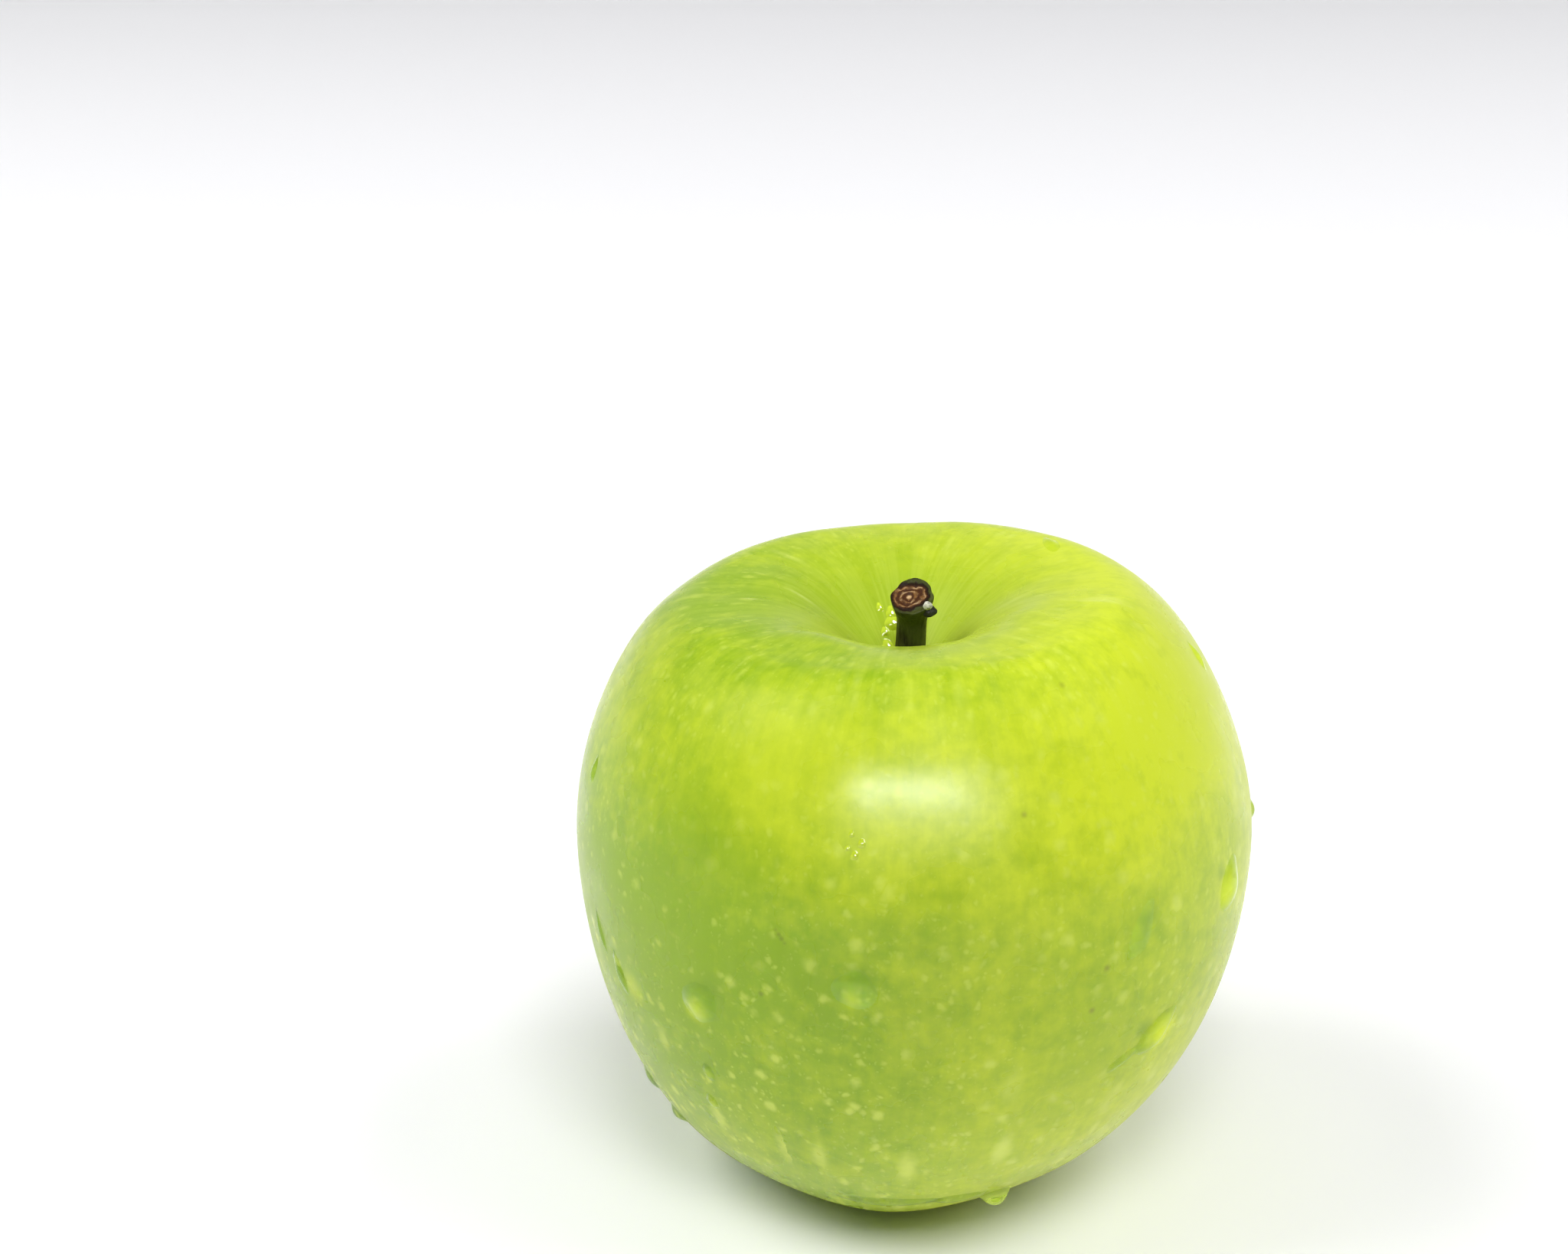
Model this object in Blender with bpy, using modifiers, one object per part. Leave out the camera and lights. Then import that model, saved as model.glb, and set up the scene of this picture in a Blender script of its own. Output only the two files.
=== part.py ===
"""Green apple: the fruit, its cut stem and the dried calyx under it.

Metres, +Z up. The origin is on the surface that the apple rests on, below the middle
of the fruit. The fruit and the stem are each grown from a sphere: every vertex of the
sphere keeps its bearing and its row, and is moved to where the form has them.
"""
import math

import bmesh
import bpy
from mathutils import Matrix, Vector

# Fruit, outside: from the foot ring that it rests on, over the cheek, to the crown ring
FOOT_RADIUS = 0.0122
CHEEK_RADIUS = 0.0380
CHEEK_HEIGHT = 0.0413
CROWN_RADIUS = 0.0221
CROWN_HEIGHT = 0.0693
FOOT_DRAW = 0.022           # how much slimmer than an ellipse the lower side is
CROWN_DRAW = 0.045          # the same for the shoulders
FLAT_DEPTH = 0.00045        # what resting takes off each lobe

# Fruit, hollows: the basin below and the stem cavity above
BASIN_DEPTH = 0.0070
BASIN_FLOOR_RADIUS = 0.0035
CAVITY_DEPTH = 0.0140
CAVITY_POWER = 2.8          # 2 is a bowl, 4 a trumpet

# Fruit, how it grew unevenly: the middle of each ring, and a rise across the crown
FOOT_CENTRE = Vector((-0.0018, 0))
BASIN_CENTRE = Vector((-0.0014, 0.0003))
CROWN_CENTRE = Vector((-0.0015, 0))
CAVITY_CENTRE = Vector((-0.0014, 0))
CROWN_RISE = Vector((0.0019, -0.0009))      # rise at the cheek's radius, to +X and to +Y
LOBE_BEARING = math.radians(-22)
FOOT_VALLEY = 0.0012        # height of the valleys between the five lobes of the foot
CROWN_LOBE = 0.00015
FLANK_RIB = 0.008           # ribs above the foot's lobes, as a share of the radius
CHEEK_SWELL = 0.005         # three soft corners at the cheek, as a share of the radius
SWELL_BEARING = math.radians(-65)

# Fruit, mesh: rows of the sphere given to each stretch, and its columns
BASIN_ROWS = 11
SIDE_ROWS = 30
CAVITY_ROWS = 15
FRUIT_COLUMNS = 72

# Stem: from its foot in the cavity to the middle of its cut end
STEM_FOOT = Vector((-0.0014, 0, 0.0542))
STEM_MIDDLE = Vector((-0.0011, 0, 0.0621))
STEM_TIP = Vector((-0.0008, -0.0012, 0.0688))
STEM_FOOT_RADIUS = 0.0016
STEM_NECK_RADIUS = 0.00152
STEM_END_RADIUS = 0.00228
FLARE_SHARE = 0.27          # share of the length over which the end flares
END_TILT = math.radians(31)
END_BEARING = math.radians(-100)
END_DISH = 0.0002
STEM_OVAL = 0.05
KNOB_RADIUS = 0.00072
KNOB_SHARE = 0.86           # how far up the stem the knob sits
KNOB_BEARING = math.radians(-38)
SCAR_RADIUS = 0.00056
SCAR_SHARE = 0.95
FOOT_ROWS = 3
BARK_ROWS = 16
END_ROWS = 5
STEM_COLUMNS = 28

# Calyx: five sepals on a short plug, and the stamens' stubs between them
SEPAL_COUNT = 5
SEPAL_PATH = ((0.0019, 0.0066), (0.0024, 0.0036), (0.0036, 0.0028), (0.0057, 0.0046))
SEPAL_HALF_WIDTH = 0.00125
SEPAL_BASE_SHARE = 0.82     # width at the base and at the tip, as shares
SEPAL_TIP_SHARE = 0.16
SEPAL_CUP = 0.00035
SEPAL_THICKNESS = 0.0007
SEPAL_CELLS = (6, 10)
PLUG_RADIUS = 0.0025
PLUG_TOP = 0.0078
PLUG_BOTTOM = 0.0056
STUB_COUNT = 6
STUB_RADIUS = 0.00034
STUB_LENGTH = 0.0024
STUB_RING = 0.0009

# Clearance between pieces, and how deep their sockets go into the fruit
GAP = 0.0003
CALYX_SOCKET_DEPTH = 0.0015
SOCKET_SIDES = 24

SKIN_COLOUR = (0.46, 0.62, 0.04)
BARK_COLOUR = (0.055, 0.045, 0.014)
SEPAL_COLOUR = (0.12, 0.085, 0.035)


def material(name, colour, roughness):
    finish = bpy.data.materials.new(name)
    finish.use_nodes = True
    shader = finish.node_tree.nodes["Principled BSDF"]
    shader.inputs["Base Color"].default_value = (*colour, 1)
    shader.inputs["Roughness"].default_value = roughness
    shader.inputs["Metallic"].default_value = 0
    return finish


def collection(name):
    group = bpy.data.collections.new(name)
    bpy.context.scene.collection.children.link(group)
    return group


def add_object(name, bm, group, finish=None):
    """A smooth-shaded object made from a bmesh, which is used up."""
    bmesh.ops.recalc_face_normals(bm, faces=bm.faces)
    mesh = bpy.data.meshes.new(name)
    bm.to_mesh(mesh)
    bm.free()
    mesh.shade_smooth()
    if finish:
        mesh.materials.append(finish)
    body = bpy.data.objects.new(name, mesh)
    group.objects.link(body)
    return body


def grown_sphere(columns, rows, place):
    """A closed mesh: the sphere's point at a bearing and a row moves to place(bearing, row)."""
    bm = bmesh.new()
    bmesh.ops.create_uvsphere(bm, u_segments=columns, v_segments=rows, radius=1)
    for vertex in bm.verts:
        x, y, z = vertex.co
        from_top = math.atan2(math.hypot(x, y), z)
        vertex.co = place(math.atan2(y, x), rows * (1 - from_top / math.pi))
    return bm


def smooth_step(share):
    share = min(max(share, 0), 1)
    return share * share * (3 - 2 * share)


def basin_station(inward):
    """The form's ring at a share of the way in from the foot ring to the basin's middle."""
    radius = FOOT_RADIUS * (1 - inward)
    wall = min(1, (FOOT_RADIUS - radius) / (FOOT_RADIUS - BASIN_FLOOR_RADIUS))
    return {
        "radius": radius,
        "height": BASIN_DEPTH * (1 - math.cos(math.pi * wall)) / 2,
        "centre": FOOT_CENTRE.lerp(BASIN_CENTRE, inward),
        "foot": (1 - inward) ** 2,
    }


def side_station(turn):
    """The ring at an angle up the side: -90 degrees is the foot ring, +90 the crown ring."""
    lower = turn < 0
    ring = FOOT_RADIUS if lower else CROWN_RADIUS
    reach = CHEEK_HEIGHT if lower else CROWN_HEIGHT - CHEEK_HEIGHT
    draw = 1 - (FOOT_DRAW if lower else CROWN_DRAW) * math.sin(2 * turn) ** 2
    near_ring = math.sin(turn) ** 2
    return {
        "radius": ring + (CHEEK_RADIUS - ring) * math.cos(turn) * draw,
        "height": CHEEK_HEIGHT + reach * math.sin(turn) * draw,
        "centre": near_ring * (FOOT_CENTRE if lower else CROWN_CENTRE),
        "cheek": 1 - near_ring,
        "flank": math.sin(2 * turn) ** 2 if lower else 0,
        "foot": near_ring ** 3 if lower else 0,
        "crown": 0 if lower else near_ring ** 3,
        "rise": 0 if lower else near_ring,
    }


def cavity_station(inward):
    """The ring at a share of the way in from the crown ring to the foot of the stem."""
    return {
        "radius": CROWN_RADIUS * (1 - inward),
        "height": CROWN_HEIGHT - CAVITY_DEPTH * inward ** CAVITY_POWER,
        "centre": CROWN_CENTRE.lerp(CAVITY_CENTRE, inward),
        "crown": (1 - inward) ** 2,
        "rise": 1,
    }


def fruit_point(bearing, row):
    if row < BASIN_ROWS:
        ring = basin_station(1 - row / BASIN_ROWS)
    elif row < BASIN_ROWS + SIDE_ROWS:
        ring = side_station(math.pi * ((row - BASIN_ROWS) / SIDE_ROWS - 0.5))
    else:
        ring = cavity_station((row - BASIN_ROWS - SIDE_ROWS) / CAVITY_ROWS)
    lobes = math.cos(5 * (bearing - LOBE_BEARING))
    corners = math.cos(3 * (bearing - SWELL_BEARING))
    swell = 1 + CHEEK_SWELL * ring.get("cheek", 0) * corners + FLANK_RIB * ring.get("flank", 0) * lobes
    outward = ring["radius"] * Vector((math.cos(bearing), math.sin(bearing)))
    rise = ring.get("rise", 0) * outward.dot(CROWN_RISE) / CHEEK_RADIUS
    rise += ring.get("crown", 0) * CROWN_LOBE * lobes
    rise += ring.get("foot", 0) * FOOT_VALLEY * (1 - lobes) / 2
    place = outward * swell + ring["centre"]
    return Vector((place.x, place.y, max(0, ring["height"] + rise - FLAT_DEPTH)))


def add_socket(name, middle, radius, bottom, top, group):
    """A cutter: a hidden cylinder that opens a socket in the fruit."""
    bm = bmesh.new()
    upright = Matrix.Translation((middle.x, middle.y, (bottom + top) / 2))
    bmesh.ops.create_cone(bm, cap_ends=True, segments=SOCKET_SIDES, radius1=radius, radius2=radius,
                          depth=top - bottom, matrix=upright)
    cutter = add_object(name, bm, group)
    cutter.hide_render = True
    cutter.display_type = "WIRE"
    return cutter


def make_fruit(group, cutters):
    """One body of flesh and skin, with a socket for the stem and one for the calyx."""
    rows = BASIN_ROWS + SIDE_ROWS + CAVITY_ROWS
    skin = material("apple_skin", SKIN_COLOUR, 0.28)
    fruit = add_object("fruit", grown_sphere(FRUIT_COLUMNS, rows, fruit_point), group, skin)
    stem_socket = add_socket("stem_socket", STEM_FOOT, STEM_FOOT_RADIUS + GAP,
                             STEM_FOOT.z - GAP, CROWN_HEIGHT, cutters)
    calyx_socket = add_socket("calyx_socket", BASIN_CENTRE, PLUG_RADIUS + GAP,
                              PLUG_BOTTOM - CALYX_SOCKET_DEPTH, PLUG_TOP + GAP, cutters)
    for cutter in (stem_socket, calyx_socket):
        cut = fruit.modifiers.new(cutter.name, "BOOLEAN")
        cut.operation = "DIFFERENCE"
        cut.solver = "EXACT"
        cut.object = cutter
    return fruit


def stem_axis(share):
    """The stem's middle line, a curve through its foot, middle and tip."""
    bend = 2 * STEM_MIDDLE - (STEM_FOOT + STEM_TIP) / 2
    return (1 - share) ** 2 * STEM_FOOT + 2 * share * (1 - share) * bend + share ** 2 * STEM_TIP


def stem_radius(share):
    taper = STEM_FOOT_RADIUS + (STEM_NECK_RADIUS - STEM_FOOT_RADIUS) * smooth_step(2 * share)
    flare = smooth_step((share - 1 + FLARE_SHARE) / FLARE_SHARE)
    return taper + (STEM_END_RADIUS - STEM_NECK_RADIUS) * flare


def stem_point(bearing, row):
    """The foot's face, then the bark, then the cut end, which tilts and is slightly dished."""
    bark_row = row - FOOT_ROWS
    end_row = bark_row - BARK_ROWS
    share = min(max(bark_row / BARK_ROWS, 0), 1)
    inward = max(0, 1 - row / FOOT_ROWS, end_row / END_ROWS)
    around = Vector((math.cos(bearing), math.sin(bearing), 0))
    across = around * stem_radius(share) * (1 - inward)
    across *= 1 + STEM_OVAL * math.cos(2 * (bearing - KNOB_BEARING))
    toward_end = Vector((math.cos(END_BEARING), math.sin(END_BEARING), 0))
    tilt = smooth_step((share - 1 + FLARE_SHARE) / FLARE_SHARE) * math.tan(END_TILT)
    across.z -= tilt * across.dot(toward_end)
    across.z -= END_DISH * math.sin(math.pi * max(0, end_row / END_ROWS) / 2)
    return stem_axis(share) + across


def union(base, others):
    """Joins the other objects to the base as one body, and removes them."""
    pieces = bpy.data.collections.new(base.name + "_pieces")
    for other in others:
        pieces.objects.link(other)
    join = base.modifiers.new("join", "BOOLEAN")
    join.operation = "UNION"
    join.solver = "EXACT"
    join.operand_type = "COLLECTION"
    join.collection = pieces
    view = bpy.context.evaluated_depsgraph_get()
    joined = bpy.data.meshes.new_from_object(base.evaluated_get(view))
    base.modifiers.remove(join)
    base.data = joined
    for other in others:
        bpy.data.objects.remove(other)
    bpy.data.collections.remove(pieces)


def make_stem(group):
    """A woody stalk with a flared cut end, and a knob and a scar on its side."""
    bark = material("stem_bark", BARK_COLOUR, 0.7)
    rows = FOOT_ROWS + BARK_ROWS + END_ROWS
    stem = add_object("stem", grown_sphere(STEM_COLUMNS, rows, stem_point), group, bark)
    bumps = []
    for name, share, radius in (("knob", KNOB_SHARE, KNOB_RADIUS), ("scar", SCAR_SHARE, SCAR_RADIUS)):
        around = Vector((math.cos(KNOB_BEARING), math.sin(KNOB_BEARING), 0))
        middle = stem_axis(share) + around * stem_radius(share)
        middle.z -= smooth_step((share - 1 + FLARE_SHARE) / FLARE_SHARE) * STEM_NECK_RADIUS * END_TILT / 2
        bm = bmesh.new()
        bmesh.ops.create_icosphere(bm, subdivisions=2, radius=radius, matrix=Matrix.Translation(middle))
        bumps.append(add_object(name, bm, group, bark))
    union(stem, bumps)
    return stem


def sepal_point(across, along):
    """A point of a sepal that leaves along +X: across runs -1 to 1, along 0 to 1."""
    out = 0
    height = 0
    for step, (path_out, path_height) in enumerate(SEPAL_PATH):
        weight = math.comb(3, step) * along ** step * (1 - along) ** (3 - step)
        out += weight * path_out
        height += weight * path_height
    opening = SEPAL_BASE_SHARE + (1 - SEPAL_BASE_SHARE) * smooth_step(3 * along)
    width = SEPAL_HALF_WIDTH * opening * (1 - (1 - SEPAL_TIP_SHARE) * along ** 1.7)
    cup = SEPAL_CUP * (1 - along) * across ** 2
    return Vector((out, across * width, height - cup))


def make_sepal(number, group, finish):
    """One blade, thickened, turned to its bearing round the calyx."""
    cells_across, cells_along = SEPAL_CELLS
    bm = bmesh.new()
    bmesh.ops.create_grid(bm, x_segments=cells_along, y_segments=cells_across, size=1)
    for vertex in bm.verts:
        vertex.co = sepal_point(vertex.co.y, (vertex.co.x + 1) / 2)
    lean = 0.06 * math.sin(2.4 * number)
    bearing = LOBE_BEARING + 2 * math.pi * number / SEPAL_COUNT + lean
    bm.transform(Matrix.Translation((BASIN_CENTRE.x, BASIN_CENTRE.y, 0)) @ Matrix.Rotation(bearing, 4, "Z"))
    sepal = add_object(f"sepal_{number + 1}", bm, group, finish)
    thick = sepal.modifiers.new("thickness", "SOLIDIFY")
    thick.thickness = SEPAL_THICKNESS
    thick.offset = 0
    return sepal


def make_stub(number, group, finish):
    """What is left of a stamen: a short leaning peg under the plug."""
    bearing = 2 * math.pi * number / STUB_COUNT + 0.3
    top = Vector((BASIN_CENTRE.x, BASIN_CENTRE.y, PLUG_BOTTOM + STUB_LENGTH / 3))
    lean = Matrix.Rotation(math.radians(14 + 4 * math.sin(3 * number)), 4, (math.sin(bearing), -math.cos(bearing), 0))
    ring = Matrix.Translation(STUB_RING * Vector((math.cos(bearing), math.sin(bearing), 0)))
    hang = Matrix.Translation((0, 0, -STUB_LENGTH / 2))
    bm = bmesh.new()
    bmesh.ops.create_cone(bm, cap_ends=True, segments=8, radius1=STUB_RADIUS * 0.85, radius2=STUB_RADIUS,
                          depth=STUB_LENGTH, matrix=Matrix.Translation(top) @ ring @ lean @ hang)
    return add_object(f"stub_{number + 1}", bm, group, finish)


def make_calyx(group):
    """The dried flower end: a plug in the basin's floor that sepals and stamens stand on."""
    dry = material("dry_sepal", SEPAL_COLOUR, 0.85)
    bm = bmesh.new()
    upright = Matrix.Translation((BASIN_CENTRE.x, BASIN_CENTRE.y, (PLUG_TOP + PLUG_BOTTOM) / 2))
    bmesh.ops.create_cone(bm, cap_ends=True, segments=SOCKET_SIDES, radius1=PLUG_RADIUS,
                          radius2=PLUG_RADIUS, depth=PLUG_TOP - PLUG_BOTTOM, matrix=upright)
    calyx = add_object("calyx", bm, group, dry)
    blades = [make_sepal(number, group, dry) for number in range(SEPAL_COUNT)]
    stubs = [make_stub(number, group, dry) for number in range(STUB_COUNT)]
    union(calyx, blades + stubs)
    return calyx


for leftover in list(bpy.data.objects):
    bpy.data.objects.remove(leftover, do_unlink=True)
apple = collection("green_apple")
hidden_cutters = collection("cutters")
make_fruit(apple, hidden_cutters)
make_stem(apple)
make_calyx(apple)
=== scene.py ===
"""Green apple with its looks: waxed skin, cut stem, dried calyx and the water left on it.

Metres, +Z up, in the part's own frame. The apple stands on its foot and -Y is the side
that the photograph shows. The forms repeat the part's sizes on finer meshes.
"""
import math

import bmesh
import bpy
from mathutils import Matrix, Vector, noise
from mathutils.bvhtree import BVHTree


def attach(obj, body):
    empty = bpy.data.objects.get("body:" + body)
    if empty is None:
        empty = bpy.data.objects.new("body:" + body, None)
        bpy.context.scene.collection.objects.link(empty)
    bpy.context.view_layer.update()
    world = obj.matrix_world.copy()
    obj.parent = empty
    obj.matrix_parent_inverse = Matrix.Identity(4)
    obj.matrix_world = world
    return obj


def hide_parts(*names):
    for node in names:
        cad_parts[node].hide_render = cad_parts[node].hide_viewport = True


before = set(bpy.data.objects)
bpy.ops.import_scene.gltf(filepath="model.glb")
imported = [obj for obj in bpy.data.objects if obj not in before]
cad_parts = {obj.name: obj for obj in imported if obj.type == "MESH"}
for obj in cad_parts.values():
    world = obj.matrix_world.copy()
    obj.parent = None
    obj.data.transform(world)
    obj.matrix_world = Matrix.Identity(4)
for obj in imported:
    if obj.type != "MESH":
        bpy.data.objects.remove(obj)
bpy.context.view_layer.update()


# The fruit: flesh under a thin waxed skin, grown as one body with five lobes at its foot.
# It swelled unevenly, so the crown slopes up to one side and the rings are not quite centred.
# Wide soft dents and folds that run into the stem cavity break the even form.
FOOT_RADIUS = 0.0122
CHEEK_RADIUS = 0.0380
CHEEK_HEIGHT = 0.0413
CROWN_RADIUS = 0.0221
CROWN_HEIGHT = 0.0693
FOOT_DRAW = 0.022
CROWN_DRAW = 0.045
FLAT_DEPTH = 0.00045
BASIN_DEPTH = 0.0070
BASIN_FLOOR_RADIUS = 0.0035
CAVITY_DEPTH = 0.0140
CAVITY_POWER = 2.8
FOOT_CENTRE = Vector((-0.0018, 0))
BASIN_CENTRE = Vector((-0.0014, 0.0003))
CROWN_CENTRE = Vector((-0.0015, 0))
CAVITY_CENTRE = Vector((-0.0014, 0))
CROWN_RISE = Vector((0.0019, -0.0009))
LOBE_BEARING = math.radians(-22)
FOOT_VALLEY = 0.0012
CROWN_LOBE = 0.00015
FLANK_RIB = 0.008
CHEEK_SWELL = 0.005
SWELL_BEARING = math.radians(-65)
BASIN_ROWS = 11
SIDE_ROWS = 30
CAVITY_ROWS = 15
ROW_DETAIL = 4
FRUIT_COLUMNS = 288
DENT_SPACING = 0.016
DENT_DEPTH = 0.00016
FOLD_COUNT = 3.2
FOLD_DEPTH = 0.00022
# Lips and one dip round the cavity: place across, place along, reach and height.
LIPS = (
    (-0.0118, -0.0105, 0.0034, 0.00055),
    (-0.0090, -0.0135, 0.0030, 0.00035),
    (0.0110, -0.0060, 0.0036, 0.00030),
    (-0.0150, 0.0060, 0.0040, 0.00035),
    (-0.0075, 0.0035, 0.0030, -0.00045),
)


def basin_station(inward):
    """The form's ring at a share of the way in from the foot ring to the basin's middle."""
    radius = FOOT_RADIUS * (1 - inward)
    wall = min(1, (FOOT_RADIUS - radius) / (FOOT_RADIUS - BASIN_FLOOR_RADIUS))
    return {
        "radius": radius,
        "height": BASIN_DEPTH * (1 - math.cos(math.pi * wall)) / 2,
        "centre": FOOT_CENTRE.lerp(BASIN_CENTRE, inward),
        "foot": (1 - inward) ** 2,
    }


def side_station(turn):
    """The ring at an angle up the side: -90 degrees is the foot ring, +90 the crown ring."""
    lower = turn < 0
    ring = FOOT_RADIUS if lower else CROWN_RADIUS
    reach = CHEEK_HEIGHT if lower else CROWN_HEIGHT - CHEEK_HEIGHT
    draw = 1 - (FOOT_DRAW if lower else CROWN_DRAW) * math.sin(2 * turn) ** 2
    near_ring = math.sin(turn) ** 2
    return {
        "radius": ring + (CHEEK_RADIUS - ring) * math.cos(turn) * draw,
        "height": CHEEK_HEIGHT + reach * math.sin(turn) * draw,
        "centre": near_ring * (FOOT_CENTRE if lower else CROWN_CENTRE),
        "cheek": 1 - near_ring,
        "flank": math.sin(2 * turn) ** 2 if lower else 0,
        "foot": near_ring ** 3 if lower else 0,
        "crown": 0 if lower else near_ring ** 3,
        "rise": 0 if lower else near_ring,
    }


def cavity_station(inward):
    """The ring at a share of the way in from the crown ring to the foot of the stem."""
    return {
        "radius": CROWN_RADIUS * (1 - inward),
        "height": CROWN_HEIGHT - CAVITY_DEPTH * inward ** CAVITY_POWER,
        "centre": CROWN_CENTRE.lerp(CAVITY_CENTRE, inward),
        "crown": (1 - inward) ** 2,
        "rise": 1,
    }


def fruit_point(bearing, row):
    if row < BASIN_ROWS:
        ring = basin_station(1 - row / BASIN_ROWS)
    elif row < BASIN_ROWS + SIDE_ROWS:
        ring = side_station(math.pi * ((row - BASIN_ROWS) / SIDE_ROWS - 0.5))
    else:
        ring = cavity_station((row - BASIN_ROWS - SIDE_ROWS) / CAVITY_ROWS)
    lobes = math.cos(5 * (bearing - LOBE_BEARING))
    corners = math.cos(3 * (bearing - SWELL_BEARING))
    swell = 1 + CHEEK_SWELL * ring.get("cheek", 0) * corners
    swell += FLANK_RIB * ring.get("flank", 0) * lobes
    outward = ring["radius"] * Vector((math.cos(bearing), math.sin(bearing)))
    rise = ring.get("rise", 0) * outward.dot(CROWN_RISE) / CHEEK_RADIUS
    rise += ring.get("crown", 0) * CROWN_LOBE * lobes
    rise += ring.get("foot", 0) * FOOT_VALLEY * (1 - lobes) / 2
    place = outward * swell + ring["centre"]
    return Vector((place.x, place.y, max(0, ring["height"] + rise - FLAT_DEPTH)))


def grown_sphere(columns, rows, detail, place):
    """A closed mesh: the sphere's point at a bearing and a row moves to place(bearing, row)."""
    bm = bmesh.new()
    bmesh.ops.create_uvsphere(bm, u_segments=columns, v_segments=rows * detail, radius=1)
    for vertex in bm.verts:
        x, y, z = vertex.co
        from_top = math.atan2(math.hypot(x, y), z)
        vertex.co = place(math.atan2(y, x), rows * (1 - from_top / math.pi))
    bmesh.ops.recalc_face_normals(bm, faces=bm.faces)
    return bm


def skin_relief(place):
    """How far the skin stands proud of the even form, in metres."""
    dents = noise.noise(place / DENT_SPACING)
    around = Vector((place.x, place.y, 0)) - CROWN_CENTRE.to_3d()
    near_axis = max(0, 1 - around.length / CHEEK_RADIUS)
    above = min(max((place.z - CHEEK_HEIGHT) / (CROWN_HEIGHT - CHEEK_HEIGHT), 0), 1)
    folds = noise.noise(around.normalized() * FOLD_COUNT + Vector((0, 0, 4 * near_axis)))
    relief = DENT_DEPTH * dents + FOLD_DEPTH * folds * above * math.sin(math.pi * near_axis)
    for x, y, reach, height in LIPS:
        away = math.hypot(place.x - x, place.y - y) / reach
        relief += above * height * math.exp(-away * away)
    return relief


def add_piece(name, bm, finish):
    """A smooth piece of the apple, shown in this finish and riding on its only body."""
    mesh = bpy.data.meshes.new(name)
    bm.to_mesh(mesh)
    bm.free()
    mesh.shade_smooth()
    mesh.materials.append(finish)
    piece = bpy.data.objects.new(name, mesh)
    bpy.context.scene.collection.objects.link(piece)
    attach(piece, "root")
    return piece


def put(tree, kind, feeds=None, **fields):
    """Adds a shader node, sets its fields, and feeds its inputs with values or outputs."""
    node = tree.nodes.new("ShaderNode" + kind)
    for field, value in fields.items():
        setattr(node, field, value)
    for socket, value in (feeds or {}).items():
        if isinstance(value, bpy.types.NodeSocket):
            tree.links.new(value, node.inputs[socket])
        else:
            node.inputs[socket].default_value = value
    return node


def maths(tree, operation, *values):
    return put(tree, "Math", dict(enumerate(values)), operation=operation).outputs[0]


def vector_maths(tree, operation, *values, out=0):
    return put(tree, "VectorMath", dict(enumerate(values)), operation=operation).outputs[out]


def blend(tree, share, first, second):
    """A colour that goes from the first to the second with the share."""
    mixer = put(tree, "Mix", data_type="RGBA")
    for socket, value in ((0, share), (6, first), (7, second)):
        if isinstance(value, bpy.types.NodeSocket):
            tree.links.new(value, mixer.inputs[socket])
        else:
            mixer.inputs[socket].default_value = value if socket == 0 else (*value, 1)
    return mixer.outputs[2]


def spread(tree, value, low, high, to_low=0.0, to_high=1.0, smooth=True):
    """Stretches a value's range from low and high to new limits, and clamps it there."""
    feeds = {"Value": value, "From Min": low, "From Max": high, "To Min": to_low, "To Max": to_high}
    kind = "SMOOTHSTEP" if smooth else "LINEAR"
    return put(tree, "MapRange", feeds, interpolation_type=kind, clamp=True).outputs[0]


def new_effect(name, inputs, output):
    """A node group with a vector and plain numbers going in, and one number coming out."""
    group = bpy.data.node_groups.new(name, "ShaderNodeTree")
    group.interface.new_socket(name="Vector", in_out="INPUT", socket_type="NodeSocketVector")
    for label in inputs:
        group.interface.new_socket(name=label, in_out="INPUT", socket_type="NodeSocketFloat")
    group.interface.new_socket(name=output, in_out="OUTPUT", socket_type="NodeSocketFloat")
    entry = group.nodes.new("NodeGroupInput")
    leave = group.nodes.new("NodeGroupOutput")
    return group, entry.outputs, leave.inputs[output]


def sharpen(tree, value, contrast):
    """Draws a noise's middle range apart: the higher the contrast, the harder its edges."""
    half = maths(tree, "DIVIDE", 0.25, contrast)
    return spread(tree, value, maths(tree, "SUBTRACT", 0.5, half), maths(tree, "ADD", 0.5, half))


def use_effect(tree, group, vector, **values):
    """Places a node group in a material with its own values, and returns its output."""
    node = tree.nodes.new("ShaderNodeGroup")
    node.node_tree = group
    tree.links.new(vector, node.inputs["Vector"])
    for label, value in values.items():
        node.inputs[label].default_value = value
    return node.outputs[0]


# Flecks: round dots of uneven size, one to a cell at most. Share says how many cells have one.
flecks, fleck_in, fleck_out = new_effect("flecks", ("Scale", "Size", "Softness", "Share"), "Mask")
cells = put(flecks, "TexVoronoi", {"Vector": fleck_in["Vector"], "Scale": fleck_in["Scale"]})
cell_draw = put(flecks, "SeparateColor", {0: cells.outputs["Color"]})
uneven_size = spread(flecks, cell_draw.outputs[0], 0, 1, 0.45, 1)
edge = maths(flecks, "MULTIPLY", fleck_in["Size"], uneven_size)
core = maths(flecks, "MULTIPLY", edge, maths(flecks, "SUBTRACT", 1, fleck_in["Softness"]))
dot = spread(flecks, cells.outputs["Distance"], edge, core)
chosen = maths(flecks, "LESS_THAN", cell_draw.outputs[1], fleck_in["Share"])
flecks.links.new(maths(flecks, "MULTIPLY", dot, chosen), fleck_out)

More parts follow.
